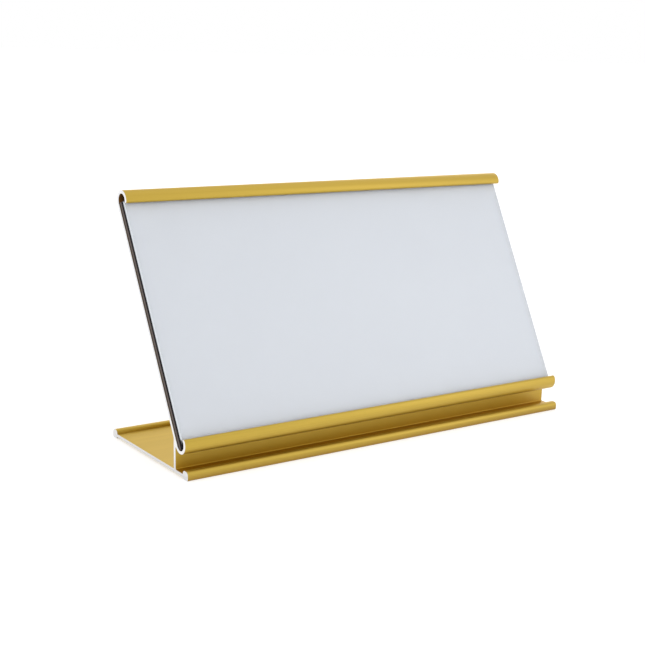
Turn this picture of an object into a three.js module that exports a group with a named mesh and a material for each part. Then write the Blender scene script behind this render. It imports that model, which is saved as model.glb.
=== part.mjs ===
// Desk name plate: a length of extruded aluminium that stands on its own base plate and holds
// a backing sheet, a name card and a clear cover in a leaning slot. Millimetres, +Z up, the
// length along X, the front at -Y. The origin is on the ground under the middle of the object.

import * as THREE from 'three';

// Overall sizes
const length = 150;
const baseDepth = 50.4;
const leanDegrees = 28.5; // how far the face leans back from upright

// The three sheets that slide in the slot
const sheetHeight = 76;
const sheetLength = 148.3;
const sheetShift = -0.75; // the sheets rest a little to the left of the middle
const backingThickness = 2.6;
const cardThickness = 0.3;
const coverThickness = 0.5;
const sheetClearance = 0.1; // between neighbours in the slot

// The extruded section
const wall = 1; // back wall, channel and hook
const webThickness = 1;
const webSetback = 7.55; // front face of the web behind the front edge
const channelSetback = 4.51; // centre of the channel's round floor behind the front edge
const channelHeight = 10.27; // the same centre above the ground
const channelInner = 2.05; // inside radius of the channel's floor, a little wider than the slot
const channelLip = 0.85; // height of the front lip above the channel's centre
const hookInner = 2.2; // inside radius of the hook
const hookLip = 1.6; // drop of the hook's lip below the hook's centre
const lipEdge = 0.15; // round on the inner edge of both lips; the rest of the wall is a wide nose
const sheetSeat = 0.27; // lower edge of card and cover below the channel's centre
const backingSeat = 0.23; // centre of the backing's round lower edge below the channel's centre
const hookRoom = 0.39; // upper edge of the sheets below the hook's centre
const plateThickness = 1;
const plateLift = 0.55; // underside of the plate above the ground
const beadWidth = 3;
const beadHeight = 2.8;
const beadTopRadius = 1.2;
const beadFootRadius = 0.6;
const webFillet = 0.4;

// Sizes that follow from the ones above
const lean = THREE.MathUtils.degToRad(leanDegrees);
const slot = backingThickness + cardThickness + coverThickness + 4 * sheetClearance;
const halfSlot = slot / 2;
const channelOuter = channelInner + wall;
const hookOuter = hookInner + wall;
const lipNose = wall - lipEdge;
const sheetTop = sheetHeight - sheetSeat; // upper edge of all three sheets
const hookDistance = sheetTop + hookRoom;
const plateTop = plateLift + plateThickness;

// The wall's own directions in the side view (y, z): up along the wall, and out to the front
const up = new THREE.Vector2(Math.sin(lean), Math.cos(lean));
const front = new THREE.Vector2(-Math.cos(lean), Math.sin(lean));
const frontAngle = Math.PI / 2 + (Math.PI / 2 - lean);
const backAngle = frontAngle - Math.PI;
const quarter = Math.PI / 2;

const channelCentre = new THREE.Vector2(channelSetback, channelHeight);
const hookCentre = along(channelCentre, hookDistance, hookInner - channelInner);
const slotFoot = along(channelCentre, 0, halfSlot - channelInner); // on the slot's middle line

// Each lip follows its own arc past or short of the foremost line, and its nose starts here
const channelEnd = frontAngle - Math.asin((channelLip - lipNose) / (channelOuter - lipNose));
const hookEnd = frontAngle + Math.asin((hookLip - lipNose) / (hookOuter - lipNose));

function along(from, upwards, forwards) {
  return from.clone().addScaledVector(up, upwards).addScaledVector(front, forwards);
}

function polar(from, distance, angle) {
  return from.clone().add(new THREE.Vector2(Math.cos(angle), Math.sin(angle)).multiplyScalar(distance));
}

function lineTo(outline, point) {
  outline.lineTo(point.x, point.y);
}

function arc(outline, centre, radius, fromAngle, toAngle, clockwise = false) {
  outline.absarc(centre.x, centre.y, radius, fromAngle, toAngle, clockwise);
}

// Front bead, from the plate's top over the bead and down to the ground
function frontBead(outline) {
  const roundsAt = beadHeight - beadTopRadius;
  outline.lineTo(beadWidth, plateTop);
  arc(outline, { x: beadWidth - beadTopRadius, y: roundsAt }, beadTopRadius, 0, quarter);
  arc(outline, { x: beadTopRadius, y: roundsAt }, beadTopRadius, quarter, 2 * quarter);
  arc(outline, { x: beadFootRadius, y: beadFootRadius }, beadFootRadius, 2 * quarter, 3 * quarter);
  outline.lineTo(beadWidth - plateLift, 0);
}

// Rear bead, from the plate's underside round to its top
function rearBead(outline) {
  const inner = baseDepth - beadWidth;
  const roundsAt = beadHeight - beadTopRadius;
  outline.lineTo(inner, plateLift);
  outline.lineTo(inner + plateLift, 0);
  arc(outline, { x: baseDepth - beadFootRadius, y: beadFootRadius }, beadFootRadius, -quarter, 0);
  arc(outline, { x: baseDepth - beadTopRadius, y: roundsAt }, beadTopRadius, 0, quarter);
  arc(outline, { x: inner + beadTopRadius, y: roundsAt }, beadTopRadius, quarter, 2 * quarter);
  outline.lineTo(inner, plateTop);
}

// Web's rear face, up to where it runs into the rear face of the leaning wall
function webRear(outline) {
  const rear = webSetback + webThickness;
  const wallFoot = along(channelCentre, 0, -channelOuter);
  const rise = (rear - wallFoot.x) / up.x;
  arc(outline, { x: rear + webFillet, y: plateTop + webFillet }, webFillet, -quarter, -2 * quarter, true);
  lineTo(outline, along(wallFoot, rise, 0));
}

// Hook: over the top, round the lip's nose and back inside to the wall
function hook(outline) {
  const nose = polar(hookCentre, hookOuter - lipNose, hookEnd);
  const edge = polar(nose, lipNose - lipEdge, hookEnd + quarter);
  arc(outline, hookCentre, hookOuter, backAngle, hookEnd);
  arc(outline, nose, lipNose, hookEnd, hookEnd + quarter);
  arc(outline, edge, lipEdge, hookEnd + quarter, hookEnd + 2 * quarter);
  arc(outline, hookCentre, hookInner, hookEnd, backAngle, true);
}

// Channel: down the wall's front face, round the floor and over the lip's nose
function channel(outline) {
  const nose = polar(channelCentre, channelOuter - lipNose, channelEnd);
  const edge = polar(nose, lipNose - lipEdge, channelEnd - quarter);
  arc(outline, channelCentre, channelInner, backAngle, channelEnd - 4 * quarter, true);
  arc(outline, edge, lipEdge, channelEnd - 2 * quarter, channelEnd - quarter);
  arc(outline, nose, lipNose, channelEnd - quarter, channelEnd);
}

// Channel's outside, its fillet into the web, and the web's front face down to the plate
function webFront(outline) {
  const reach = channelOuter + webFillet;
  const across = webSetback - webFillet - channelSetback;
  const filletCentre = { x: webSetback - webFillet, y: channelHeight - Math.sqrt(reach ** 2 - across ** 2) };
  const meetAngle = Math.atan2(filletCentre.y - channelHeight, across);
  arc(outline, channelCentre, channelOuter, channelEnd, meetAngle + 4 * quarter);
  arc(outline, filletCentre, webFillet, meetAngle + 2 * quarter, 0, true);
  arc(outline, { x: webSetback - webFillet, y: plateTop + webFillet }, webFillet, 0, -quarter, true);
}

function holderSection() {
  const outline = new THREE.Shape();
  outline.moveTo(beadWidth, plateLift);
  rearBead(outline);
  webRear(outline);
  hook(outline);
  channel(outline);
  webFront(outline);
  frontBead(outline);
  return outline;
}

// A section drawn in (y, z) becomes a solid along X, centred on the origin's length
function alongLength(section, solidLength) {
  const geometry = new THREE.ExtrudeGeometry(section, {
    depth: solidLength,
    steps: 1,
    bevelEnabled: false,
    curveSegments: 6,
  });
  geometry.translate(0, 0, -solidLength / 2);
  geometry.rotateY(Math.PI / 2);
  geometry.rotateX(Math.PI / 2);
  return geometry;
}

function finish(color, roughness, metalness) {
  return new THREE.MeshStandardMaterial({ color, roughness, metalness });
}

function holderProfile() {
  const mesh = new THREE.Mesh(alongLength(holderSection(), length), finish(0xc9a84c, 0.42, 0.85));
  mesh.name = 'holder_profile';
  return mesh;
}

// A flat sheet in the slot's own directions: length along X, thickness along Y, height along Z.
// rearFace is its rear face in front of the back wall.
function flatSheet(name, thickness, rearFace, material) {
  const mesh = new THREE.Mesh(new THREE.BoxGeometry(sheetLength, thickness, sheetHeight), material);
  mesh.name = name;
  mesh.position.set(0, halfSlot - rearFace - thickness / 2, sheetTop - sheetHeight / 2);
  return mesh;
}

// The backing stands on a half-round lower edge that follows the channel's floor
function backingSheet() {
  const half = backingThickness / 2;
  const middle = halfSlot - sheetClearance - half;
  const outline = new THREE.Shape();
  outline.moveTo(middle + half, sheetTop);
  outline.lineTo(middle - half, sheetTop);
  arc(outline, { x: middle, y: -backingSeat }, half, Math.PI, 2 * Math.PI);
  const mesh = new THREE.Mesh(alongLength(outline, sheetLength), finish(0x2e2a28, 0.85, 0));
  mesh.name = 'backing_sheet';
  return mesh;
}

function sheetsInSlot() {
  const slotFrame = new THREE.Group();
  slotFrame.position.set(sheetShift, slotFoot.x, slotFoot.y);
  slotFrame.rotation.x = -lean;
  const cardFace = sheetClearance + backingThickness + sheetClearance;
  const coverFace = cardFace + cardThickness + sheetClearance;
  slotFrame.add(backingSheet());
  slotFrame.add(flatSheet('name_card', cardThickness, cardFace, finish(0xe9ebee, 0.8, 0)));
  slotFrame.add(flatSheet('cover_sheet', coverThickness, coverFace, finish(0xf2f5f7, 0.35, 0)));
  return slotFrame;
}

const namePlate = new THREE.Group();
namePlate.position.y = -baseDepth / 2;
namePlate.add(holderProfile());
namePlate.add(sheetsInSlot());

export default namePlate;
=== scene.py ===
# %% [markdown]
# # A gold desk name plate
#
# The object is a short length of extruded aluminium, anodised gold and cut square at both ends.
# Its section is one line of metal: a base plate with a round bead along each edge, an upright web,
# a wall that leans back, a channel at the wall's foot and a hook at its top. Three flat sheets lie
# in the slot between channel and hook: a dark backing, a white card and a thin clear cover.
#
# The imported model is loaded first, as a fixed frame. Every piece below takes its place from it.

# %% The fixed frame
from math import asin, atan2, cos, radians, sin, sqrt, tan

import bmesh
import bpy
from mathutils import Matrix, Vector


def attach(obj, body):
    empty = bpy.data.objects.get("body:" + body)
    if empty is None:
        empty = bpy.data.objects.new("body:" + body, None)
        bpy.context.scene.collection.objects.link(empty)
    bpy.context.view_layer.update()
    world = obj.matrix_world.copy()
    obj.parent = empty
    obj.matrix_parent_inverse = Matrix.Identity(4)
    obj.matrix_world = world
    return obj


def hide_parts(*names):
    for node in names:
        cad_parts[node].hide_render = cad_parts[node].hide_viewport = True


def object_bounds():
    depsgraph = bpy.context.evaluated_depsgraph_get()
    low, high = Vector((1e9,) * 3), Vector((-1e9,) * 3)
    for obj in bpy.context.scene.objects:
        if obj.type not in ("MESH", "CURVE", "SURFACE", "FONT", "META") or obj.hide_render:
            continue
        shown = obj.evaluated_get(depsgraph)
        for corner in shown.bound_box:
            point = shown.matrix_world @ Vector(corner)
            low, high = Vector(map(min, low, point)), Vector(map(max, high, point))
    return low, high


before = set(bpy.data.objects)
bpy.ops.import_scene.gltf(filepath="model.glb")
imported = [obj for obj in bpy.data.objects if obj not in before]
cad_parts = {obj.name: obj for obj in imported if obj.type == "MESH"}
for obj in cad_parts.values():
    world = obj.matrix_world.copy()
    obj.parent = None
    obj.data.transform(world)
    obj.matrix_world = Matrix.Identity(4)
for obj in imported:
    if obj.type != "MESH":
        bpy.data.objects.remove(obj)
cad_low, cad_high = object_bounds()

MM = 0.001
print("nodes:", sorted(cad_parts))
print("box in mm:", [round(c / MM, 2) for c in (*cad_low, *cad_high)])

# %% [markdown]
# ## The camera
#
# The photograph looks at the plate from the front left and a little from above. Its upright edges
# hardly lean together, as with a lens that is shifted upwards. So the camera has some shift, though
# not all of it, because a full shift would push the plate out of the other views. A long lens keeps
# the two ends nearly alike. The camera comes first, so that every test render shows the plate as the
# photograph does.

# %% The camera
CAMERA_PLACE = Vector((-236.1, -323.8, 122.9)) * MM
CAMERA_HEADING = radians(34.92)
CAMERA_PITCH = radians(15.92)
CAMERA_ROLL = radians(1.48)
PICTURE_SIDE = 645
LENS_IN_PIXELS = 1222.9
SHIFT_IN_PIXELS = 75
SENSOR_WIDTH = 36
NEAREST_SEEN = 0.01
FARTHEST_SEEN = 20

camera_data = bpy.data.cameras.new("camera")
camera_data.sensor_width = SENSOR_WIDTH
camera_data.lens = SENSOR_WIDTH * LENS_IN_PIXELS / PICTURE_SIDE
camera_data.shift_y = SHIFT_IN_PIXELS / PICTURE_SIDE
camera_data.clip_start = NEAREST_SEEN
camera_data.clip_end = FARTHEST_SEEN
camera = bpy.data.objects.new("camera", camera_data)
turned = Matrix.Rotation(-CAMERA_HEADING, 4, "Z")
tilted = Matrix.Rotation(radians(90) - CAMERA_PITCH, 4, "X")
rolled = Matrix.Rotation(CAMERA_ROLL, 4, "Z")
camera.matrix_world = Matrix.Translation(CAMERA_PLACE) @ turned @ tilted @ rolled
bpy.context.scene.collection.objects.link(camera)
bpy.context.scene.camera = camera
print("lens in mm:", round(camera_data.lens, 1))

# %% [markdown]
# ## The section's sizes
#
# These are the sizes of the extrusion, in metres. The slot is as wide as its three sheets and the
# clearances beside them. It leans, so it has its own two directions: `UP` runs up along the wall and
# `FRONT` points out of the face. The channel's floor and the hook are round, each about its own
# centre, and a little wider than the slot. The hook's lip curls in behind its foremost line. Both
# lips end in a wide nose, with only a small round on the inner edge.

# %% Sizes of the extrusion
LENGTH = cad_high.x - cad_low.x
DEPTH = cad_high.y - cad_low.y
FRONT_EDGE = cad_low.y
LEAN = radians(28.5)
WALL = 1.0 * MM
BACKING_THICKNESS = 2.6 * MM
CARD_THICKNESS = 0.3 * MM
COVER_THICKNESS = 0.5 * MM
CLEARANCE = 0.1 * MM
SLOT = BACKING_THICKNESS + CARD_THICKNESS + COVER_THICKNESS + 4 * CLEARANCE
WEB = 1.0 * MM
WEB_SETBACK = 7.55 * MM
WEB_FILLET = 0.4 * MM
PLATE_LIFT = 0.55 * MM
PLATE_TOP = 1.55 * MM
BEAD_WIDTH = 3.0 * MM
BEAD_HEIGHT = 2.8 * MM
BEAD_RADIUS = 1.2 * MM
BEAD_FOOT = 0.6 * MM
LIP_EDGE = 0.15 * MM
LIP_NOSE = WALL - LIP_EDGE
CHANNEL_SETBACK = 4.51 * MM
CHANNEL_HEIGHT = 10.27 * MM
CHANNEL_INNER = 2.05 * MM
CHANNEL_OUTER = CHANNEL_INNER + WALL
CHANNEL_LIP = 0.85 * MM
HOOK_INNER = 2.2 * MM
HOOK_OUTER = HOOK_INNER + WALL
HOOK_LIP = 1.6 * MM
HOOK_ROOM = 0.39 * MM

UP = Vector((0, sin(LEAN), cos(LEAN)))
FRONT = Vector((0, -cos(LEAN), sin(LEAN)))
CHANNEL_CENTRE = Vector((0, FRONT_EDGE + CHANNEL_SETBACK, CHANNEL_HEIGHT))
SLOT_FOOT = CHANNEL_CENTRE + (SLOT / 2 - CHANNEL_INNER) * FRONT
hook_forward = (HOOK_INNER - CHANNEL_INNER) * FRONT
HOOK_DISTANCE = (cad_high.z - HOOK_OUTER - hook_forward.z - CHANNEL_CENTRE.z) / UP.z
HOOK_CENTRE = CHANNEL_CENTRE + HOOK_DISTANCE * UP + hook_forward
HOOK_CURL = asin((HOOK_LIP - LIP_NOSE) / (HOOK_OUTER - LIP_NOSE))
print("slot in mm:", round(SLOT / MM, 2))
print("hook centre above channel centre, in mm:", round(HOOK_DISTANCE / MM, 2))


def base_point(setback, height):
    """A point of the section, set back from the front edge and above the ground."""
    return Vector((0, FRONT_EDGE + setback, height))


def slot_point(centre, forwards, upwards):
    """A point of the section in the leaning slot's own directions."""
    return centre + forwards * FRONT + upwards * UP


def lip_point(radius):
    """A corner at the end of the hook's lip, on its outer or inner side by the side's radius."""
    forwards = radius * cos(HOOK_CURL) - LIP_NOSE * sin(HOOK_CURL)
    upwards = -radius * sin(HOOK_CURL) - LIP_NOSE * cos(HOOK_CURL)
    return slot_point(HOOK_CENTRE, forwards, upwards)


# %% [markdown]
# ## Drawing the section
#
# An extrusion die is drawn as a polygon whose corners are then rounded. A curve could hold the
# outline too, but a polygon keeps every size in plain sight. So the section is a face with one
# vertex at each corner, and a vertex bevel rounds each one to its own radius. The bevel's offset
# runs from the corner to where the round begins, so it is the radius times the tangent of half the
# turn. The bevel follows a true arc on a right angle, and very nearly on a small turn, but not on a
# sharper one. So a longer bend, as in the hook, is split into right angles and a small rest whose
# bevels meet.

# %% The section's corners, each with its radius
SHARP = 0.12 * MM
rear_edge = DEPTH
web_rear = WEB_SETBACK + WEB
wall_rear_foot = slot_point(CHANNEL_CENTRE, -CHANNEL_OUTER, 0)
web_rear_rise = (FRONT_EDGE + web_rear - wall_rear_foot.y) / UP.y
curl_share = tan(HOOK_CURL / 2)

# The channel's outside turns on past its lowest point and runs into the web in a small fillet.
fillet_reach = CHANNEL_OUTER + WEB_FILLET
fillet_across = FRONT_EDGE + WEB_SETBACK - WEB_FILLET - CHANNEL_CENTRE.y
fillet_down = sqrt(fillet_reach**2 - fillet_across**2)
fillet_way = Vector((0, fillet_across, -fillet_down)) / fillet_reach
rest_of_turn = atan2(fillet_way.z, fillet_way.y) - atan2(-UP.z, -UP.y)
channel_rest = CHANNEL_OUTER * tan(rest_of_turn / 2)
leaves_channel = CHANNEL_CENTRE + CHANNEL_OUTER * fillet_way
leaving = Vector((0, -fillet_way.z, fillet_way.y))
to_web = (FRONT_EDGE + WEB_SETBACK - leaves_channel.y) / leaving.y

base_rear = [
    (base_point(BEAD_WIDTH - PLATE_LIFT, 0), SHARP),
    (base_point(BEAD_WIDTH, PLATE_LIFT), SHARP),
    (base_point(rear_edge - BEAD_WIDTH, PLATE_LIFT), SHARP),
    (base_point(rear_edge - BEAD_WIDTH + PLATE_LIFT, 0), SHARP),
    (base_point(rear_edge, 0), BEAD_FOOT),
    (base_point(rear_edge, BEAD_HEIGHT), BEAD_RADIUS),
    (base_point(rear_edge - BEAD_WIDTH, BEAD_HEIGHT), BEAD_RADIUS),
    (base_point(rear_edge - BEAD_WIDTH, PLATE_TOP), SHARP),
    (base_point(web_rear, PLATE_TOP), WEB_FILLET),
    (slot_point(wall_rear_foot, 0, web_rear_rise), WEB_FILLET),
]
hook = [
    (slot_point(HOOK_CENTRE, -HOOK_OUTER, HOOK_OUTER), HOOK_OUTER),
    (slot_point(HOOK_CENTRE, HOOK_OUTER, HOOK_OUTER), HOOK_OUTER),
    (slot_point(HOOK_CENTRE, HOOK_OUTER, -HOOK_OUTER * curl_share), HOOK_OUTER),
    (lip_point(HOOK_OUTER), LIP_NOSE),
    (lip_point(HOOK_INNER), LIP_EDGE),
    (slot_point(HOOK_CENTRE, HOOK_INNER, -HOOK_INNER * curl_share), HOOK_INNER),
    (slot_point(HOOK_CENTRE, HOOK_INNER, HOOK_INNER), HOOK_INNER),
    (slot_point(HOOK_CENTRE, -HOOK_INNER, HOOK_INNER), HOOK_INNER),
    (slot_point(HOOK_CENTRE, -HOOK_INNER, -HOOK_ROOM), 0),
]
channel = [
    (slot_point(CHANNEL_CENTRE, -CHANNEL_INNER, -CHANNEL_INNER), CHANNEL_INNER),
    (slot_point(CHANNEL_CENTRE, CHANNEL_INNER, -CHANNEL_INNER), CHANNEL_INNER),
    (slot_point(CHANNEL_CENTRE, CHANNEL_INNER, CHANNEL_LIP), LIP_EDGE),
    (slot_point(CHANNEL_CENTRE, CHANNEL_OUTER, CHANNEL_LIP), LIP_NOSE),
    (slot_point(CHANNEL_CENTRE, CHANNEL_OUTER, -CHANNEL_OUTER), CHANNEL_OUTER),
    (slot_point(CHANNEL_CENTRE, -channel_rest, -CHANNEL_OUTER), CHANNEL_OUTER),
    (leaves_channel + to_web * leaving, WEB_FILLET),
]
base_front = [
    (base_point(WEB_SETBACK, PLATE_TOP), WEB_FILLET),
    (base_point(BEAD_WIDTH, PLATE_TOP), SHARP),
    (base_point(BEAD_WIDTH, BEAD_HEIGHT), BEAD_RADIUS),
    (base_point(0, BEAD_HEIGHT), BEAD_RADIUS),
    (base_point(0, 0), BEAD_FOOT),
]
section_corners = base_rear + hook + channel + base_front
print("corners in the section:", len(section_corners))

# %% [markdown]
# ## Rounding, bevelling and finishing a mesh
#
# A round gets steps of nearly the same length whatever its radius, so that small and large rounds
# look equally smooth, but never fewer than four. Where two bevels meet, their end points fall
# together and are merged. A mesh is shaded smooth at the end, except along edges where it turns too
# sharply for that.

# %% Helpers for meshes
ROUND_STEP = 0.22 * MM
LEAST_STEPS = 4
MEETING_DISTANCE = 0.002 * MM
BREAK_STEPS = 2
SHARP_SHADING = radians(40)


def round_corner(mesh, vertex, before, after, radius):
    """Bevels one corner of a flat face to an arc of that radius."""
    turn = (vertex.co - before).angle(after - vertex.co)
    bmesh.ops.bevel(
        mesh,
        geom=[vertex],
        offset=radius * tan(turn / 2),
        offset_type="OFFSET",
        segments=max(LEAST_STEPS, round(radius * turn / ROUND_STEP)),
        profile=0.5,
        affect="VERTICES",
        material=-1,
    )


def rounded_section(mesh, corners, x):
    """A flat face across the length at x, with every corner rounded."""
    points = [Vector((x, *point.yz)) for point, _ in corners]
    vertices = [mesh.verts.new(point) for point in points]
    mesh.faces.new(vertices)
    for index, (_, radius) in enumerate(corners):
        before = points[index - 1]
        after = points[(index + 1) % len(points)]
        if radius > 0:
            round_corner(mesh, vertices[index], before, after, radius)
    bmesh.ops.remove_doubles(mesh, verts=mesh.verts, dist=MEETING_DISTANCE)


def bevel_edges(mesh, edges, offset, steps, material=-1):
    """Bevels edges evenly. The new faces take a material slot, or their neighbours' at -1."""
    bmesh.ops.bevel(
        mesh,
        geom=edges,
        offset=offset,
        offset_type="OFFSET",
        segments=steps,
        profile=0.5,
        affect="EDGES",
        material=material,
    )


def finished_object(name, mesh, materials):
    """Turns a bmesh into an object at the origin, smooth except at its sharp edges."""
    bmesh.ops.recalc_face_normals(mesh, faces=mesh.faces)
    for face in mesh.faces:
        face.smooth = True
    for edge in mesh.edges:
        edge.smooth = edge.calc_face_angle(0) < SHARP_SHADING
    data = bpy.data.meshes.new(name)
    mesh.to_mesh(data)
    mesh.free()
    for material in materials:
        data.materials.append(material)
    piece = bpy.data.objects.new(name, data)
    bpy.context.scene.collection.objects.link(piece)
    print(name, "faces:", len(data.polygons), "materials:", len(data.materials))
    return piece


# %% [markdown]
# ## Building materials from nodes
#
# Each finish is a small node tree around one Principled shader. It could be wired by hand in the
# editor. The helpers below add a node, wire it and set its values instead, so that a finish can be
# read from top to bottom. All patterns start from Object coordinates: the pieces are modelled in
# place, so those are real metres on the object.

# %% Helpers for node trees
NOISE_LOW, NOISE_HIGH = 0.3, 0.7


class Finish:
    """A material with its node tree, its Principled shader and its object coordinates."""

    def __init__(self, name):
        self.material = bpy.data.materials.new(name)
        self.material.use_nodes = True
        self.tree = self.material.node_tree
        self.shader = self.tree.nodes["Principled BSDF"]
        self.place = self.add("ShaderNodeTexCoord").outputs["Object"]

    def add(self, kind, inputs=None, **settings):
        node = self.tree.nodes.new(kind)
        for key, value in settings.items():
            setattr(node, key, value)
        for key, value in (inputs or {}).items():
            self.feed(node.inputs[key], value)
        return node

    def feed(self, socket, value):
        """Wires a socket to another node's output, or sets its value."""
        if isinstance(value, bpy.types.NodeSocket):
            self.tree.links.new(value, socket)
        elif socket.type == "RGBA":
            socket.default_value = (*value, 1)
        else:
            socket.default_value = value

    def set(self, **values):
        """Feeds the shader's own sockets, with _ for the space in a socket's name."""
        for key, value in values.items():
            self.feed(self.shader.inputs[key.replace("_", " ")], value)

    def stretched(self, scale, rotation=(0, 0, 0)):
        """Object coordinates multiplied by a scale along each axis."""
        inputs = {"Vector": self.place, "Scale": scale, "Rotation": rotation}
        return self.add("ShaderNodeMapping", inputs).outputs["Vector"]

    def noise(self, place, scale, detail):
        inputs = {"Vector": place, "Scale": scale, "Detail": detail}
        return self.add("ShaderNodeTexNoise", inputs).outputs["Fac"]

    def spread(self, value, low, high, at_low, at_high):
        """Maps the range from low to high onto the one from `at_low` to `at_high`."""
        ranges = {"From Min": low, "From Max": high, "To Min": at_low, "To Max": at_high}
        return self.add("ShaderNodeMapRange", {"Value": value, **ranges}).outputs["Result"]

    def between(self, noise, low, high):
        """Noise seldom leaves its middle range, so that range is spread from low to high."""
        return self.spread(noise, NOISE_LOW, NOISE_HIGH, low, high)

    def by_height(self, low, high, at_low, at_high):
        """A value that runs from `at_low` to `at_high` between two heights on the object."""
        height = self.add("ShaderNodeSeparateXYZ", {"Vector": self.place}).outputs["Z"]
        return self.spread(height, low, high, at_low, at_high)

    def combined(self, operation, first, second):
        return self.add("ShaderNodeMath", {0: first, 1: second}, operation=operation).outputs[0]

    def mixed(self, factor, colour_a, colour_b):
        node = self.add("ShaderNodeMix", data_type="RGBA")
        self.feed(node.inputs[0], factor)
        self.feed(node.inputs[6], colour_a)
        self.feed(node.inputs[7], colour_b)
        return node.outputs[2]

    def brightened(self, colour, times):
        """A colour made brighter, or darker where `times` is less than 1."""
        inputs = {"Color": colour, "Value": times}
        return self.add("ShaderNodeHueSaturation", inputs).outputs["Color"]

    def bump(self, height, depth, strength, under=None):
        inputs = {"Height": height, "Distance": depth, "Strength": strength}
        if under is not None:
            inputs["Normal"] = under
        return self.add("ShaderNodeBump", inputs).outputs["Normal"]


# %% [markdown]
# ## Gold-anodised aluminium
#
# The metal was etched to a satin before it was dyed gold, so it has no mirror image but a soft
# glow. Two patterns make it real: faint lines along the length, which the die leaves, and a very
# fine grain from the etching. A painted picture could hold them, but noise stays crisp close up. The
# lines are noise that is stretched along X until it hardly changes.
#
# The groove, the lower side of the beads and the inside of the rounds lie in shade, where gold faces
# gold and each bounce of light deepens its tone. That shade is painted into the colour: those places
# have finishes of their own, with darker golds. In the groove and on the beads, the painted shade
# gives way to the plain gold with height.

# %% Gold-anodised aluminium
DIE_LINES = (6, 2600, 2600)
BROAD_LINES = (3, 420, 420)
DIE_SHARE = 0.6
ETCHED_GRAIN = 9000
GOLD_SHEEN = (1.0, 0.8, 0.4)
DARKER_GOLD = (0.500, 0.345, 0.040)
LIGHTER_GOLD = (0.560, 0.390, 0.052)
# Colours of painted shade for the groove, the beads' foot and the inside of the rounds.
GROOVE_PAINTED_SHADE = (0.455, 0.262, 0.005)
BEAD_FOOT_PAINTED_SHADE = (0.360, 0.220, 0.020)
DARKER_PAINTED_INSIDE_SHADE = (0.220, 0.095, 0.014)
LIGHTER_PAINTED_INSIDE_SHADE = (0.290, 0.130, 0.022)
GROOVE_TOP = CHANNEL_CENTRE.z - CHANNEL_OUTER


def gold_anodised(name, darker_lines, lighter_lines, painted_shade_colour=None, rises_from=0, rises_to=0):
    """Anodised gold. A colour of painted shade, where there is one, gives way to the lines' gold by
    height.
    """
    gold = Finish(name)
    die_lines = gold.noise(gold.stretched(DIE_LINES), scale=1, detail=4)
    broad_lines = gold.noise(gold.stretched(BROAD_LINES), scale=1, detail=2)
    grain = gold.noise(gold.place, scale=ETCHED_GRAIN, detail=2)
    narrow_part = gold.between(die_lines, 0, DIE_SHARE)
    broad_part = gold.between(broad_lines, 0, 1 - DIE_SHARE)
    lines = gold.combined("ADD", narrow_part, broad_part)
    colour = gold.mixed(lines, darker_lines, lighter_lines)
    if painted_shade_colour is not None:
        risen = gold.by_height(rises_from, rises_to, 0, 1)
        colour = gold.mixed(risen, painted_shade_colour, colour)
    etched = gold.bump(grain, depth=0.004 * MM, strength=0.5)
    gold.set(
        Base_Color=colour,
        Metallic=1.0,
        Specular_Tint=GOLD_SHEEN,
        Coat_Weight=0.6,
        Coat_Roughness=0.4,
        Roughness=gold.between(grain, 0.5, 0.58),
        Normal=gold.bump(die_lines, depth=0.006 * MM, strength=0.6, under=etched),
    )
    return gold.material


satin_gold = gold_anodised("gold_anodised_aluminium", DARKER_GOLD, LIGHTER_GOLD)
# Painted shade: the gold is darker low in the groove and lightens towards the channel.
groove_gold_with_painted_shade = gold_anodised(
    "gold_with_painted_shade_in_the_groove", DARKER_GOLD, LIGHTER_GOLD, GROOVE_PAINTED_SHADE, PLATE_TOP, GROOVE_TOP
)
# Painted shade: the beads' gold is darker towards their foot, where they sit in shade.
bead_gold_with_painted_shade = gold_anodised(
    "gold_with_painted_shade_on_the_beads", DARKER_GOLD, LIGHTER_GOLD, BEAD_FOOT_PAINTED_SHADE, BEAD_FOOT, BEAD_HEIGHT - BEAD_FOOT
)
# Painted shade: a dark gold inside the rounds of hook and channel.
inside_gold_with_painted_shade = gold_anodised("gold_with_painted_shade_inside_the_rounds", DARKER_PAINTED_INSIDE_SHADE, LIGHTER_PAINTED_INSIDE_SHADE)
for gold_finish in (satin_gold, groove_gold_with_painted_shade, bead_gold_with_painted_shade, inside_gold_with_painted_shade):
    print(gold_finish.name, "nodes:", len(gold_finish.node_tree.nodes))

# %% [markdown]
# ## Bare metal at the cut ends
#
# The bar is sawn to length after anodising, so each end face is bare aluminium: almost white, with
# fine saw lines. The saw comes down through the section, so its lines run level. Towards the ground
# the colour is painted a little darker: painted shade, for the shaded floor that the ends reflect
# there.

# %% Bare cut aluminium
SAW_LINES = (200, 900, 9000)
BARE_GRAIN = 12000
DARKER_BARE = (0.80, 0.80, 0.82)
LIGHTER_BARE = (0.88, 0.88, 0.89)
PAINTED_SHADE_AT_THE_FOOT = 0.86


def bare_cut(name):
    bare = Finish(name)
    saw = bare.noise(bare.stretched(SAW_LINES), scale=1, detail=3)
    grain = bare.noise(bare.place, scale=BARE_GRAIN, detail=2)
    bright = bare.mixed(saw, DARKER_BARE, LIGHTER_BARE)
    # Painted shade: the ends are painted darker towards the ground.
    painted_foot_shade = bare.by_height(PLATE_TOP, 2 * BEAD_HEIGHT, PAINTED_SHADE_AT_THE_FOOT, 1)
    bare.set(
        Base_Color=bare.brightened(bright, painted_foot_shade),
        Metallic=1.0,
        Roughness=bare.between(grain, 0.42, 0.55),
        Normal=bare.bump(saw, depth=0.008 * MM, strength=0.7),
    )
    return bare.material


bare_metal = bare_cut("bare_cut_aluminium")
print(bare_metal.name, "nodes:", len(bare_metal.node_tree.nodes))

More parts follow.
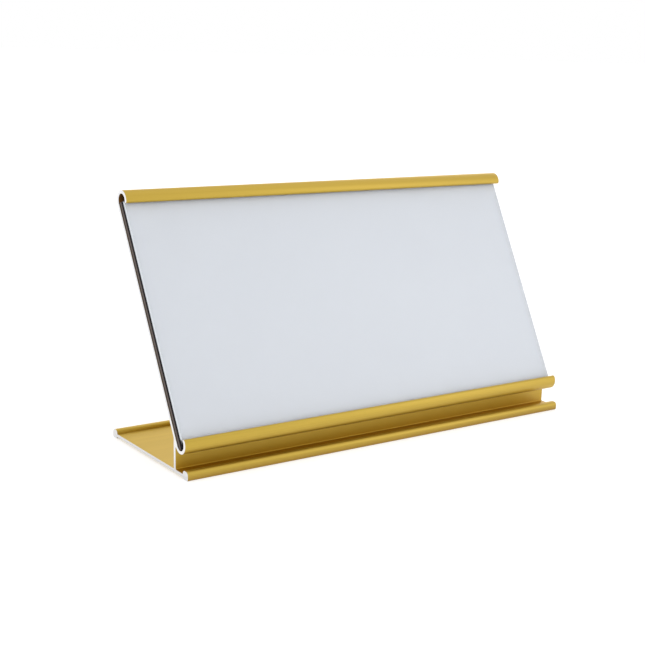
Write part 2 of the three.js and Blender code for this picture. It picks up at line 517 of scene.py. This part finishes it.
# %% [markdown]
# ## The holder
#
# The rounded section is one face at the left end. A curve could carry it along the length, but one
# extrusion of the face does the same in a single step and keeps both ends square. The two end
# outlines get the small bevel that deburring leaves.
#
# Each face then takes one of five finishes by its place: bare metal on the ends and their bevels, the
# golds with painted shade inside the rounds, in the groove and on the beads, and the plain gold
# everywhere else.

# %% Which finish a face of the holder takes
END_BEVEL = 0.1 * MM
PLATE_MIDDLE = (PLATE_LIFT + PLATE_TOP) / 2

# The painted shade inside the rounds reaches a little past their radius.
HOOK_ROUND_REACH = 1.03 * HOOK_INNER
CHANNEL_ROUND_REACH = 1.01 * CHANNEL_INNER

GOLD_SLOT, BARE_SLOT, INSIDE_SLOT, GROOVE_SLOT, BEAD_SLOT = 0, 1, 2, 3, 4
holder_finishes = [satin_gold, bare_metal, inside_gold_with_painted_shade, groove_gold_with_painted_shade, bead_gold_with_painted_shade]


def on_an_end(place):
    """Whether a place lies on a cut end or on the bevel around it."""
    return abs(place.x) > LENGTH / 2 - END_BEVEL


def in_a_round(place):
    """Whether a place lies on the round inside of the hook or of the channel."""
    from_hook = (place - HOOK_CENTRE).yz.length
    from_channel = (place - CHANNEL_CENTRE).yz.length
    return from_hook < HOOK_ROUND_REACH or from_channel < CHANNEL_ROUND_REACH


def in_the_groove(place):
    """Whether a place lies in the groove between the front bead and the web."""
    setback = place.y - FRONT_EDGE
    between_bead_and_web = BEAD_WIDTH - SHARP < setback < WEB_SETBACK + SHARP
    return between_bead_and_web and PLATE_MIDDLE < place.z < GROOVE_TOP


def on_a_bead(place):
    """Whether a place lies on the outer side or the foot of the front or rear bead."""
    from_middle = abs(place.y - FRONT_EDGE - DEPTH / 2)
    return from_middle > DEPTH / 2 - BEAD_WIDTH + SHARP and place.z < BEAD_HEIGHT


def finish_slot(place):
    """The material slot of a face, by where its middle lies."""
    if on_an_end(place):
        return BARE_SLOT
    # Inside the rounds, in the groove and on the beads, a face takes a gold with painted shade.
    if in_a_round(place):
        return INSIDE_SLOT
    if in_the_groove(place):
        return GROOVE_SLOT
    if on_a_bead(place):
        return BEAD_SLOT
    return GOLD_SLOT


print("finishes on the holder:", [finish.name for finish in holder_finishes])

# %% The holder
FACES_THE_AXIS = 0.9


def holder():
    mesh = bmesh.new()
    rounded_section(mesh, section_corners, cad_low.x)
    grown = bmesh.ops.extrude_face_region(mesh, geom=list(mesh.faces))["geom"]
    far_end = [item for item in grown if isinstance(item, bmesh.types.BMVert)]
    bmesh.ops.translate(mesh, verts=far_end, vec=(LENGTH, 0, 0))
    bmesh.ops.recalc_face_normals(mesh, faces=mesh.faces)
    ends = {face for face in mesh.faces if abs(face.normal.x) > FACES_THE_AXIS}
    outline = [edge for edge in mesh.edges if not ends.isdisjoint(edge.link_faces)]
    bevel_edges(mesh, outline, END_BEVEL, BREAK_STEPS)
    for face in mesh.faces:
        face.material_index = finish_slot(face.calc_center_median())
    return finished_object("holder_body", mesh, holder_finishes)


holder_body = holder()
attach(holder_body, "holder")
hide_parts("holder_profile")

# %% [markdown]
# ## The three sheets
#
# Each sheet is a flat rectangle cut from stock. It starts as a cube of side 1, scaled to the
# sheet's real size, with its edges just broken by a bevel. It is shaped upright at the origin, where
# its sizes lie along the axes, and only then turned to the wall's lean and moved to its layer in the
# slot. The backing needs two more things: a half-round foot that follows the channel's floor, and a
# rear side that stands a little higher at its top.

# %% A cut sheet
SEAT = 0.27 * MM
SHEET_HEIGHT = 76 * MM
SHEET_LENGTH = 148.3 * MM
SHEET_SHIFT = -0.75 * MM
SLOT_PLACE = Matrix.Translation(SLOT_FOOT) @ Matrix.Rotation(-LEAN, 4, "X")
CUT_CORNER = radians(60)
FOOT_STEPS = 10
FLAT_UNDER_THE_FOOT = 0.01 * MM
FACE_SLOT, EDGE_SLOT = 0, 1


def round_foot(mesh, thickness):
    """Rounds the two lower edges that run along the length into a half circle."""
    lower = [edge for edge in mesh.edges if max(vertex.co.z for vertex in edge.verts) < 0]
    along = [edge for edge in lower if edge.verts[0].co.y == edge.verts[1].co.y]
    bevel_edges(mesh, along, thickness / 2 - FLAT_UNDER_THE_FOOT, FOOT_STEPS)


def cut_sheet(name, thickness, behind, broken_edge, finishes, reach_down=SEAT, rear_rise=0):
    """A sheet whose rear face lies `behind` in front of the slot's back wall."""
    height = SHEET_HEIGHT - SEAT + reach_down
    mesh = bmesh.new()
    bmesh.ops.create_cube(mesh, size=1)
    bmesh.ops.scale(mesh, vec=(SHEET_LENGTH, thickness, height), verts=mesh.verts)
    rear_top = [vertex for vertex in mesh.verts if vertex.co.y > 0 and vertex.co.z > 0]
    bmesh.ops.translate(mesh, verts=rear_top, vec=(0, 0, rear_rise))
    if reach_down > SEAT:
        round_foot(mesh, thickness)
    for face in mesh.faces:
        face.material_index = FACE_SLOT if abs(face.normal.y) > FACES_THE_AXIS else EDGE_SLOT
    corners = [edge for edge in mesh.edges if edge.calc_face_angle(0) > CUT_CORNER]
    bevel_edges(mesh, corners, broken_edge, BREAK_STEPS, EDGE_SLOT)
    middle = Vector((SHEET_SHIFT, SLOT / 2 - behind - thickness / 2, height / 2 - reach_down))
    bmesh.ops.translate(mesh, verts=mesh.verts, vec=middle)
    bmesh.ops.transform(mesh, matrix=SLOT_PLACE, verts=mesh.verts)
    return finished_object(name, mesh, finishes)


# %% [markdown]
# ## Dark backing
#
# The backing is a sheet of dark board that fills the slot behind the card. Its cut edge shows at the
# left end: a grey-brown core between a dark rear band and a nearly black front. The rear band is
# painted shade, for the shaded gap between the board and the slot's back wall. The core and the front
# could be thin pieces of their own, but they are stuck together and move as one, so one sheet carries
# all the bands as a pattern. The layers run across the thickness. So the pattern is turned to the
# wall's lean first and then read through a colour ramp.

# %% Finishes of the backing
DARKER_BOARD = (0.012, 0.011, 0.010)
LIGHTER_BOARD = (0.030, 0.028, 0.026)

# A colour ramp's stops take a fourth value, which is 1 for a solid colour.
# Painted shade: the dark rear band stands for the shaded gap behind the board.
PAINTED_REAR_GAP_SHADE = (0.022, 0.015, 0.011, 1)
CORE = (0.120, 0.095, 0.085, 1)
FRONT_SKIN = (0.008, 0.007, 0.010, 1)
PAINTED_REAR_GAP_SHADE_ENDS, CORE_STARTS, CORE_ENDS, FRONT_SKIN_STARTS = 0.16, 0.28, 0.54, 0.66


def board_layers(edge):
    """The layers' colours, by the share of the thickness from the rear face to the front."""
    leaning = edge.stretched((1, 1, 1), rotation=(LEAN, 0, 0))
    across = edge.add("ShaderNodeSeparateXYZ", {"Vector": leaning}).outputs["Y"]
    rear_face = (Matrix.Rotation(LEAN, 4, "X") @ SLOT_FOOT).y + SLOT / 2 - CLEARANCE
    through = edge.spread(across, rear_face, rear_face - BACKING_THICKNESS, 0, 1)
    layers = edge.add("ShaderNodeValToRGB", {"Fac": through})
    stops = layers.color_ramp.elements
    stops[0].position, stops[0].color = PAINTED_REAR_GAP_SHADE_ENDS, PAINTED_REAR_GAP_SHADE
    stops[1].position, stops[1].color = FRONT_SKIN_STARTS, FRONT_SKIN
    for position in (CORE_STARTS, CORE_ENDS):
        stops.new(position).color = CORE
    return layers.outputs["Color"]


def backing_edge(name):
    edge = Finish(name)
    fibres = edge.noise(edge.place, scale=4000, detail=3)
    edge.set(
        Base_Color=edge.brightened(board_layers(edge), edge.between(fibres, 0.75, 1.25)),
        Roughness=edge.between(fibres, 0.7, 0.9),
        Specular_IOR_Level=0.12,
        Normal=edge.bump(fibres, depth=0.03 * MM, strength=0.6),
    )
    return edge.material


def backing_face(name):
    board = Finish(name)
    fibres = board.noise(board.place, scale=2500, detail=4)
    board.set(
        Base_Color=board.mixed(fibres, DARKER_BOARD, LIGHTER_BOARD),
        Roughness=board.between(fibres, 0.65, 0.85),
        Normal=board.bump(fibres, depth=0.01 * MM, strength=0.5),
    )
    return board.material


backing_finishes = [backing_face("backing_board"), backing_edge("backing_cut_edge")]
print("finishes on the backing:", [finish.name for finish in backing_finishes])

# %% The backing
BACKING_SEAT = 0.23 * MM
BACKING_REACH = BACKING_SEAT + BACKING_THICKNESS / 2
REAR_RISE = 0.6 * MM
BROKEN_BOARD = 0.08 * MM

backing_behind = CLEARANCE
backing = cut_sheet(
    "backing_board",
    BACKING_THICKNESS,
    backing_behind,
    BROKEN_BOARD,
    backing_finishes,
    reach_down=BACKING_REACH,
    rear_rise=REAR_RISE,
)
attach(backing, "backing")
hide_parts("backing_sheet")

# %% [markdown]
# ## The thin sheets' cut edges
#
# A knife-cut edge scatters light, so where card and cover lie in the open at the slot's end, their
# edges show as a pale line. Behind the lips of channel and hook the edges lie in shade, and that
# shade is painted in as nearly black.
# The edge could be cut up and each stretch given its own finish. One finish that changes with height
# is simpler, and both thin sheets share it.

# %% The thin sheets' cut edges
LIP_SHADE = 0.5 * MM
CHANNEL_TOP = slot_point(CHANNEL_CENTRE, CHANNEL_INNER, CHANNEL_LIP).z
HOOK_FOOT = lip_point(HOOK_INNER).z
KNIFE_MARKS = (3000, 3000, 300)
DARKER_CUT = (0.64, 0.67, 0.71)
LIGHTER_CUT = (0.72, 0.75, 0.79)
# Nearly black painted shade for the cut edges behind the lips of channel and hook.
PAINTED_SHADE_BEHIND_A_LIP = (0.012, 0.010, 0.010)


def pale_edge(name):
    edge = Finish(name)
    knife = edge.noise(edge.stretched(KNIFE_MARKS), scale=1, detail=3)
    pale = edge.mixed(knife, DARKER_CUT, LIGHTER_CUT)
    # Painted shade: the edge is painted dark below the channel's lip and above the hook's foot.
    above_the_channel = edge.by_height(CHANNEL_TOP - LIP_SHADE, CHANNEL_TOP, 0, 1)
    below_the_hook = edge.by_height(HOOK_FOOT, HOOK_FOOT + LIP_SHADE, 1, 0)
    outside_the_painted_shade = edge.combined("MULTIPLY", above_the_channel, below_the_hook)
    edge.set(
        Base_Color=edge.mixed(outside_the_painted_shade, PAINTED_SHADE_BEHIND_A_LIP, pale),
        Roughness=edge.between(knife, 0.35, 0.55),
        Specular_IOR_Level=0.15,
        Normal=edge.bump(knife, depth=0.01 * MM, strength=0.5),
    )
    return edge.material


print("open edge in mm, from the ground:", round(CHANNEL_TOP / MM, 1), "to", round(HOOK_FOOT / MM, 1))

# %% [markdown]
# ## White card
#
# The card is plain white stock with a faintly cool tone. One even colour would look like paint.
# Real card has a slow cloudiness from its pulp and a fine tooth that catches the light, and both are
# noise.

# %% White card
BROKEN_CARD = 0.03 * MM
DARKER_CARD = (0.602, 0.632, 0.676)
LIGHTER_CARD = (0.634, 0.665, 0.706)
CARD_TOOTH = (1, 2.2, 2.2)


def white_card(name):
    card = Finish(name)
    clouds = card.noise(card.place, scale=60, detail=3)
    tooth = card.noise(card.stretched(CARD_TOOTH), scale=2600, detail=4)
    card.set(
        Base_Color=card.mixed(clouds, DARKER_CARD, LIGHTER_CARD),
        Roughness=card.between(tooth, 0.62, 0.75),
        Normal=card.bump(tooth, depth=0.006 * MM, strength=0.6),
    )
    return card.material


card_behind = backing_behind + BACKING_THICKNESS + CLEARANCE
card_finishes = [white_card("white_card"), pale_edge("card_cut_edge")]
card = cut_sheet("card", CARD_THICKNESS, card_behind, BROKEN_CARD, card_finishes)
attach(card, "card")
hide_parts("name_card")

# %% [markdown]
# ## Clear cover
#
# The cover is a thin sheet of matt clear plastic, so it hardly shows in front of the card. It could
# be made as glass, but light hardly bends in so thin a sheet. A low alpha is simpler and lets the
# card's white through. The roughness is that of a non-glare sheet.

# %% Clear cover
BROKEN_COVER = 0.05 * MM


def cover_face(name):
    cover = Finish(name)
    frosting = cover.noise(cover.place, scale=5000, detail=3)
    cover.set(
        Base_Color=(0.86, 0.88, 0.92),
        Roughness=cover.between(frosting, 0.34, 0.44),
        IOR=1.49,
        Alpha=0.2,
        Normal=cover.bump(frosting, depth=0.003 * MM, strength=0.4),
    )
    return cover.material


cover_behind = card_behind + CARD_THICKNESS + CLEARANCE
cover_finishes = [cover_face("matt_clear_cover"), pale_edge("cover_cut_edge")]
cover = cut_sheet("cover", COVER_THICKNESS, cover_behind, BROKEN_COVER, cover_finishes)
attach(cover, "cover")
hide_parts("cover_sheet")

# %% [markdown]
# ## Floor
#
# The photograph is a studio picture on pure white, with hardly a shadow. A photographer gets that
# by standing the object on a light table. So the floor is a very large pale plane that glows a
# little, in a white room, and floor and room meet without a visible line.

# %% Floor
FLOOR_SIDE = 60.0
DARKER_FLOOR = (0.61, 0.61, 0.61)
LIGHTER_FLOOR = (0.63, 0.63, 0.63)
FLOOR_GLOW = 0.5


def pale_floor(name):
    pale = Finish(name)
    clouds = pale.noise(pale.place, scale=8, detail=2)
    pale.set(
        Base_Color=pale.mixed(clouds, DARKER_FLOOR, LIGHTER_FLOOR),
        Roughness=0.9,
        Emission_Color=(1, 1, 1),
        Emission_Strength=FLOOR_GLOW,
    )
    return pale.material


floor_mesh = bmesh.new()
bmesh.ops.create_grid(floor_mesh, x_segments=1, y_segments=1, size=FLOOR_SIDE / 2)
floor = finished_object("floor", floor_mesh, [pale_floor("pale_floor")])

# %% [markdown]
# ## Light
#
# The white room gives most of the light. A weak and very soft sun from above adds a gentle light on
# every upper edge. Three panels do the rest: a broad one behind the plate brightens the upper sides
# of the gold, one at the front right lights the face, and a small one near the right end lifts the
# card and the groove there.

# %% Light
ROOM_STRENGTH = 1.0
SUN_STRENGTH = 0.15
SUN_SPREAD = radians(60)


def add_lamp(name, lamp_data, place, target):
    """Puts a lamp at a place and turns it to shine at its target."""
    lamp = bpy.data.objects.new(name, lamp_data)
    backwards = Vector(place) - Vector(target)
    aim = backwards.to_track_quat("Z", "Y").to_matrix().to_4x4()
    lamp.matrix_world = Matrix.Translation(place) @ aim
    bpy.context.scene.collection.objects.link(lamp)
    print(name, "energy:", round(lamp_data.energy, 2))


def soft_panel(name, watts, size, place, target):
    panel = bpy.data.lights.new(name, "AREA")
    panel.shape = "RECTANGLE"
    panel.size, panel.size_y = size
    panel.energy = watts
    add_lamp(name, panel, place, target)


high_sun = bpy.data.lights.new("high_sun", "SUN")
high_sun.energy = SUN_STRENGTH
high_sun.angle = SUN_SPREAD
add_lamp("high_sun", high_sun, place=(0.4, 0.15, 1.0), target=(0, 0, 0))
soft_panel("back_panel", watts=3.6, size=(1.6, 1.0), place=(1.1, 1.58, 0.54), target=(0, 0, 0))
soft_panel("front_panel", watts=1.35, size=(0.9, 0.9), place=(0.88, -1.06, 0.83), target=(0, 0, 0.04))
soft_panel("side_panel", watts=0.16, size=(0.3, 0.3), place=(0.35, -0.3, 0.12), target=(0.06, 0, 0.04))

room = bpy.data.worlds.new("white_room")
room.use_nodes = True
background = room.node_tree.nodes["Background"]
background.inputs["Color"].default_value = (1, 1, 1, 1)
background.inputs["Strength"].default_value = ROOM_STRENGTH
bpy.context.scene.world = room
bpy.context.scene.view_settings.view_transform = "Standard"
